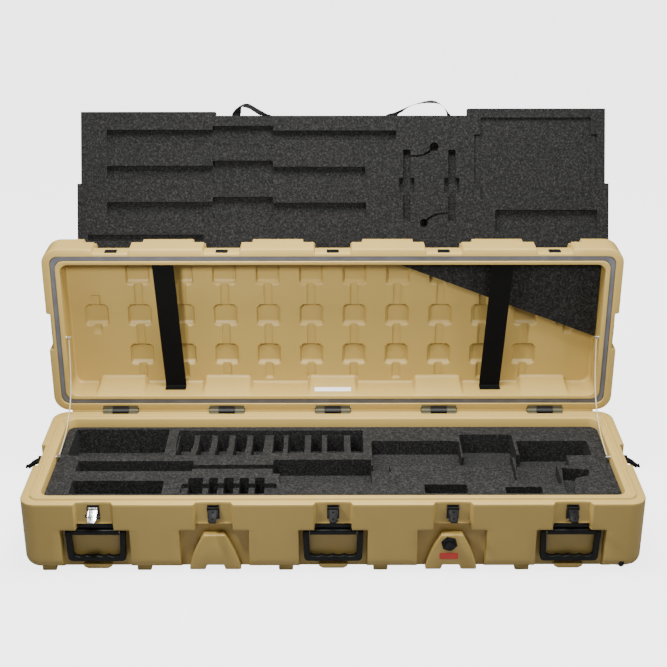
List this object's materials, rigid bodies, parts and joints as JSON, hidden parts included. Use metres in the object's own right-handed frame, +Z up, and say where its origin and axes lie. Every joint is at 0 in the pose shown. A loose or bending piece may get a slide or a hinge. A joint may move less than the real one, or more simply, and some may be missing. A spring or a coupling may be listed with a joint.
{
  "type": "hard equipment case",
  "caption": "Long hard equipment case with a hinged lid, draw latches, bail handles, cut foam in the base and a separate foam tray.",
  "frame": {"origin": "on the floor under the centre of the base", "axes": "+X along the case towards the wheeled end, +Y from the front latches to the rear hinges, +Z up"},
  "size_m": [1.5208, 0.7611, 0.9523],
  "materials": {
    "shell": "satin",
    "foam": "matte",
    "gasket": "matte",
    "webbing": "matte",
    "hardware": "satin",
    "bright_steel": "polished",
    "handle": "satin",
    "red_plate": "satin",
    "white_tape": "satin",
    "cable": "satin",
    "tyre": "matte"
  },
  "bodies": {
    "base": {"base_shell": "shell", "base_foam": "foam", "base_hinge_leaves": "hardware", "hinge_pins": "bright_steel", "valve_body": "hardware", "red_label": "red_plate", "wheel_axles": "bright_steel", "base_cable_eyes": "bright_steel", "left_lid_cable": "cable", "right_lid_cable": "cable", "latch_plate_1": "hardware", "latch_plate_2": "hardware", "latch_plate_3": "hardware", "latch_plate_4": "hardware", "latch_plate_5": "hardware", "latch_plate_left": "hardware", "latch_plate_right": "hardware", "handle_bracket_1": "handle", "handle_bracket_3": "handle", "handle_bracket_5": "handle", "handle_bracket_left": "handle", "handle_bracket_right": "handle"},
    "lid": {"lid_shell": "shell", "lid_gasket": "gasket", "left_strap": "webbing", "right_strap": "webbing", "foam_wedge": "foam", "blank_label": "white_tape", "latch_keepers": "hardware", "lid_hinge_leaves": "hardware", "lid_cable_eyes": "bright_steel"},
    "tray": {"tray_face": "foam", "tray_backing": "foam", "left_loop": "webbing", "right_loop": "webbing"},
    "latch_arm_1": {"latch_arm_1": "bright_steel"},
    "latch_wing_1": {"latch_wing_1": "hardware"},
    "latch_arm_2": {"latch_arm_2": "hardware"},
    "latch_wing_2": {"latch_wing_2": "hardware"},
    "latch_arm_3": {"latch_arm_3": "hardware"},
    "latch_wing_3": {"latch_wing_3": "hardware"},
    "latch_arm_4": {"latch_arm_4": "hardware"},
    "latch_wing_4": {"latch_wing_4": "hardware"},
    "latch_arm_5": {"latch_arm_5": "hardware"},
    "latch_wing_5": {"latch_wing_5": "hardware"},
    "latch_arm_left": {"latch_arm_left": "hardware"},
    "latch_wing_left": {"latch_wing_left": "hardware"},
    "latch_arm_right": {"latch_arm_right": "hardware"},
    "latch_wing_right": {"latch_wing_right": "hardware"},
    "handle_1": {"handle_1": "handle"},
    "handle_3": {"handle_3": "handle"},
    "handle_5": {"handle_5": "handle"},
    "handle_left": {"handle_left": "handle"},
    "handle_right": {"handle_right": "handle"},
    "valve_button": {"valve_button": "hardware"},
    "front_wheel": {"front_wheel": "tyre"},
    "rear_wheel": {"rear_wheel": "tyre"}
  },
  "joints": [
    {"name": "lid_hinge", "type": "hinge", "parent": "base", "child": "lid", "pos_m": [0, 0.228, 0.19], "axis": [1, 0, 0], "range_deg": [0, 90], "deforming": ["left_lid_cable", "right_lid_cable"]},
    {"name": "tray_turn", "type": "hinge", "parent": "lid", "child": "tray", "pos_m": [0, 0.34384, 0.59451], "axis": [1, 0, 0], "range_deg": [-158, 0]},
    {"name": "latch_1_swing", "type": "hinge", "parent": "base", "child": "latch_arm_1", "pos_m": [-0.556, -0.2215, 0.176], "axis": [-1, 0, 0], "range_deg": [0, 122]},
    {"name": "latch_1_twist", "type": "hinge", "parent": "latch_arm_1", "child": "latch_wing_1", "pos_m": [-0.556, -0.23592, 0.16699], "axis": [0, 0.5299, -0.848], "range_deg": [0, 180]},
    {"name": "latch_2_swing", "type": "hinge", "parent": "base", "child": "latch_arm_2", "pos_m": [-0.278, -0.2215, 0.176], "axis": [-1, 0, 0], "range_deg": [0, 122]},
    {"name": "latch_2_twist", "type": "hinge", "parent": "latch_arm_2", "child": "latch_wing_2", "pos_m": [-0.278, -0.23592, 0.16699], "axis": [0, 0.5299, -0.848], "range_deg": [0, 180]},
    {"name": "latch_3_swing", "type": "hinge", "parent": "base", "child": "latch_arm_3", "pos_m": [0, -0.2215, 0.176], "axis": [-1, 0, 0], "range_deg": [0, 122]},
    {"name": "latch_3_twist", "type": "hinge", "parent": "latch_arm_3", "child": "latch_wing_3", "pos_m": [0, -0.23592, 0.16699], "axis": [0, 0.5299, -0.848], "range_deg": [0, 180]},
    {"name": "latch_4_swing", "type": "hinge", "parent": "base", "child": "latch_arm_4", "pos_m": [0.278, -0.2215, 0.176], "axis": [-1, 0, 0], "range_deg": [0, 122]},
    {"name": "latch_4_twist", "type": "hinge", "parent": "latch_arm_4", "child": "latch_wing_4", "pos_m": [0.278, -0.23592, 0.16699], "axis": [0, 0.5299, -0.848], "range_deg": [0, 180]},
    {"name": "latch_5_swing", "type": "hinge", "parent": "base", "child": "latch_arm_5", "pos_m": [0.556, -0.2215, 0.176], "axis": [-1, 0, 0], "range_deg": [0, 122]},
    {"name": "latch_5_twist", "type": "hinge", "parent": "latch_arm_5", "child": "latch_wing_5", "pos_m": [0.556, -0.23592, 0.16699], "axis": [0, 0.5299, -0.848], "range_deg": [0, 180]},
    {"name": "latch_left_swing", "type": "hinge", "parent": "base", "child": "latch_arm_left", "pos_m": [-0.727, 0, 0.176], "axis": [0, 1, 0], "range_deg": [0, 122]},
    {"name": "latch_left_twist", "type": "hinge", "parent": "latch_arm_left", "child": "latch_wing_left", "pos_m": [-0.74142, 0, 0.16699], "axis": [0.5299, 0, -0.848], "range_deg": [0, 180]},
    {"name": "latch_right_swing", "type": "hinge", "parent": "base", "child": "latch_arm_right", "pos_m": [0.727, 0, 0.176], "axis": [0, -1, 0], "range_deg": [0, 122]},
    {"name": "latch_right_twist", "type": "hinge", "parent": "latch_arm_right", "child": "latch_wing_right", "pos_m": [0.74142, 0, 0.16699], "axis": [-0.5299, 0, -0.848], "range_deg": [0, 180]},
    {"name": "handle_1_swing", "type": "hinge", "parent": "base", "child": "handle_1", "pos_m": [-0.556, -0.2145, 0.108], "axis": [-1, 0, 0], "range_deg": [0, 90]},
    {"name": "handle_3_swing", "type": "hinge", "parent": "base", "child": "handle_3", "pos_m": [0, -0.2145, 0.108], "axis": [-1, 0, 0], "range_deg": [0, 90]},
    {"name": "handle_5_swing", "type": "hinge", "parent": "base", "child": "handle_5", "pos_m": [0.556, -0.2145, 0.108], "axis": [-1, 0, 0], "range_deg": [0, 90]},
    {"name": "handle_left_swing", "type": "hinge", "parent": "base", "child": "handle_left", "pos_m": [-0.718, 0, 0.108], "axis": [0, 1, 0], "range_deg": [0, 90]},
    {"name": "handle_right_swing", "type": "hinge", "parent": "base", "child": "handle_right", "pos_m": [0.718, 0, 0.108], "axis": [0, -1, 0], "range_deg": [0, 90]},
    {"name": "valve_press", "type": "slide", "parent": "base", "child": "valve_button", "axis": [0, 1, 0], "range_m": [0, 0.002]},
    {"name": "front_wheel_spin", "type": "hinge", "parent": "base", "child": "front_wheel", "pos_m": [0.68, -0.1855, 0.0225], "axis": [0, 1, 0], "continuous": true},
    {"name": "rear_wheel_spin", "type": "hinge", "parent": "base", "child": "rear_wheel", "pos_m": [0.68, 0.1855, 0.0225], "axis": [0, 1, 0], "continuous": true}
  ],
  "couplings": [
    {"joint": "tray_turn", "follows": "lid_hinge", "ratio": -1.7555}
  ]
}
